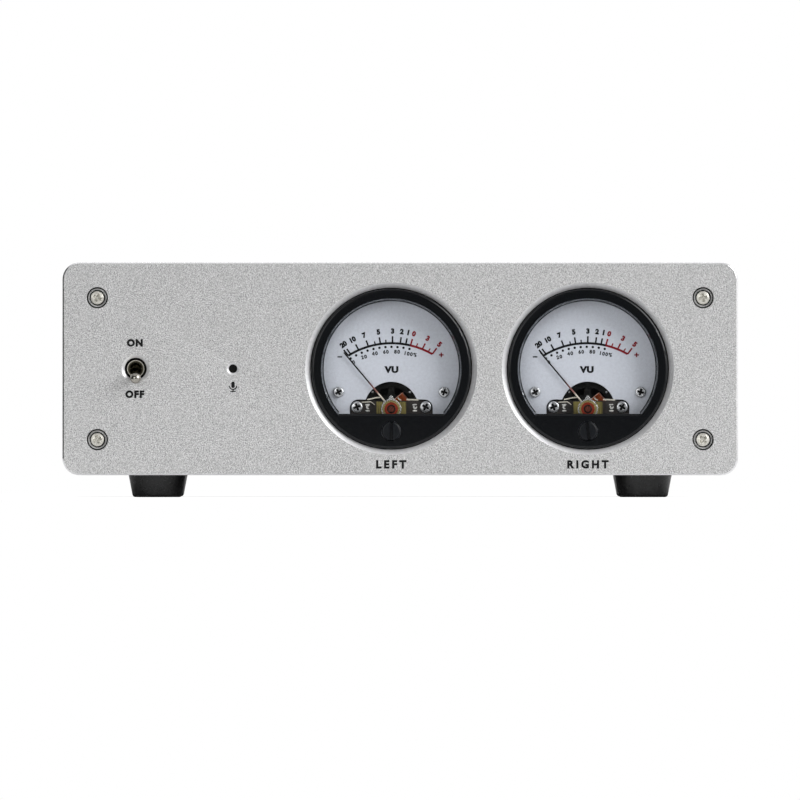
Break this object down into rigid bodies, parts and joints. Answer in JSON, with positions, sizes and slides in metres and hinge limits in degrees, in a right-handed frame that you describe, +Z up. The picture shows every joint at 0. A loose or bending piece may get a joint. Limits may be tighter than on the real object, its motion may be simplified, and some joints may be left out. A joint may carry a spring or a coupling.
{
  "type": "analog VU meter",
  "caption": "Desktop analog level meter: thick aluminium front panel with round moving-coil dials, a toggle switch and a microphone hole, on a low metal case with feet.",
  "frame": {"origin": "middle of the bounding box's underside, on the table under the feet", "axes": "+X to the right as seen from the front, +Y from the front panel to the rear wall, +Z up"},
  "size_m": [0.238, 0.1466, 0.0828],
  "materials": {
    "panel_aluminium": "bead-blasted, clear anodised",
    "case_paint": "fine black powder coat",
    "screw_steel": "nickel plated",
    "black_screw": "blackened steel",
    "foot_plastic": "moulded, half gloss",
    "chrome": "polished",
    "switch_moulding": "moulded",
    "solder_lug": "tinned",
    "mic_rubber": "soft, matte",
    "mic_can": "drawn",
    "board_laminate": "solder mask over glass laminate",
    "capacitor_sleeve": "shrunk sleeve",
    "standoff_brass": "nickel plated",
    "socket_moulding": "moulded",
    "bezel_moulding": "moulded, half gloss",
    "lens_clear": "clear acrylic",
    "can_moulding": "moulded",
    "terminal_brass": "turned, nickel plated",
    "dial_paint": "cool grey white, satin",
    "yoke_iron": "zinc plated",
    "magnet_core": "ground magnet alloy",
    "bar_laminate": "phenolic paper laminate",
    "bridge_brass": "rolled, dull",
    "jewel_copper": "turned, lacquered copper red",
    "lever_aluminium": "bright",
    "pointer_paint": "matte black tube",
    "coil_copper": "enamelled winding",
    "spring_bronze": "bright strip",
    "adjuster_moulding": "moulded"
  },
  "bodies": {
    "case": {"front_panel": "panel_aluminium", "panel_washers": "screw_steel", "panel_screws": "screw_steel", "chassis_tray": "case_paint", "top_cover": "case_paint", "cover_screws": "black_screw", "foot_screws": "screw_steel", "foot_front_left": "foot_plastic", "foot_rear_left": "foot_plastic", "foot_front_right": "foot_plastic", "foot_rear_right": "foot_plastic", "switch_case": "switch_moulding", "switch_bushing": "chrome", "switch_nut": "black_screw", "switch_pin": "screw_steel", "switch_terminals": "solder_lug", "mic_boot": "mic_rubber", "mic_capsule": "mic_can", "main_board": "board_laminate", "board_standoffs": "standoff_brass", "board_screws": "screw_steel", "board_capacitors": "capacitor_sleeve", "line_jack_block": "socket_moulding", "line_jack_shells": "chrome", "dc_jack": "socket_moulding", "dial_screws": "screw_steel", "bridge_screws": "screw_steel", "left_bezel": "bezel_moulding", "left_lens": "lens_clear", "left_can": "can_moulding", "left_clamp_ring": "can_moulding", "left_terminals": "terminal_brass", "left_dial_plate": "dial_paint", "left_yoke": "yoke_iron", "left_core": "magnet_core", "left_bridge_bar": "bar_laminate", "left_bridge": "bridge_brass", "left_jewel_screw": "jewel_copper", "right_bezel": "bezel_moulding", "right_lens": "lens_clear", "right_can": "can_moulding", "right_clamp_ring": "can_moulding", "right_terminals": "terminal_brass", "right_dial_plate": "dial_paint", "right_yoke": "yoke_iron", "right_core": "magnet_core", "right_bridge_bar": "bar_laminate", "right_bridge": "bridge_brass", "right_jewel_screw": "jewel_copper"},
    "switch_lever": {"switch_lever": "chrome"},
    "left_zero_screw": {"left_zero_screw": "adjuster_moulding"},
    "left_zero_lever": {"left_zero_lever": "lever_aluminium", "left_hairspring": "spring_bronze"},
    "left_pointer": {"left_pointer": "pointer_paint", "left_moving_coil": "coil_copper"},
    "right_zero_screw": {"right_zero_screw": "adjuster_moulding"},
    "right_zero_lever": {"right_zero_lever": "lever_aluminium", "right_hairspring": "spring_bronze"},
    "right_pointer": {"right_pointer": "pointer_paint", "right_moving_coil": "coil_copper"}
  },
  "joints": [
    {"name": "switch_toggle", "type": "hinge", "parent": "case", "child": "switch_lever", "pos_m": [-0.0932, -0.05872, 0.0453], "axis": [-1, 0, 0], "range_deg": [0, 30]},
    {"name": "left_zero_set", "type": "hinge", "parent": "case", "child": "left_zero_screw", "pos_m": [-0.00315, -0.06222, 0.0233], "axis": [0, 1, 0], "range_deg": [-30, 30]},
    {"name": "left_zero_follow", "type": "hinge", "parent": "case", "child": "left_zero_lever", "pos_m": [-0.00315, -0.05982, 0.0311], "axis": [0, 1, 0], "range_deg": [-5.45, 5.45]},
    {"name": "left_pointer_swing", "type": "hinge", "parent": "left_zero_lever", "child": "left_pointer", "pos_m": [-0.00315, -0.05762, 0.0311], "axis": [0, 1, 0], "range_deg": [0, 80], "stiffness_Nm_per_rad": 0.000002},
    {"name": "right_zero_set", "type": "hinge", "parent": "case", "child": "right_zero_screw", "pos_m": [0.06615, -0.06222, 0.0233], "axis": [0, 1, 0], "range_deg": [-30, 30]},
    {"name": "right_zero_follow", "type": "hinge", "parent": "case", "child": "right_zero_lever", "pos_m": [0.06615, -0.05982, 0.0311], "axis": [0, 1, 0], "range_deg": [-5.45, 5.45]},
    {"name": "right_pointer_swing", "type": "hinge", "parent": "right_zero_lever", "child": "right_pointer", "pos_m": [0.06615, -0.05762, 0.0311], "axis": [0, 1, 0], "range_deg": [0, 80], "stiffness_Nm_per_rad": 0.000002}
  ],
  "couplings": [
    {"joint": "left_zero_set", "follows": "left_zero_follow", "ratio": -5.5},
    {"joint": "right_zero_set", "follows": "right_zero_follow", "ratio": -5.5}
  ]
}
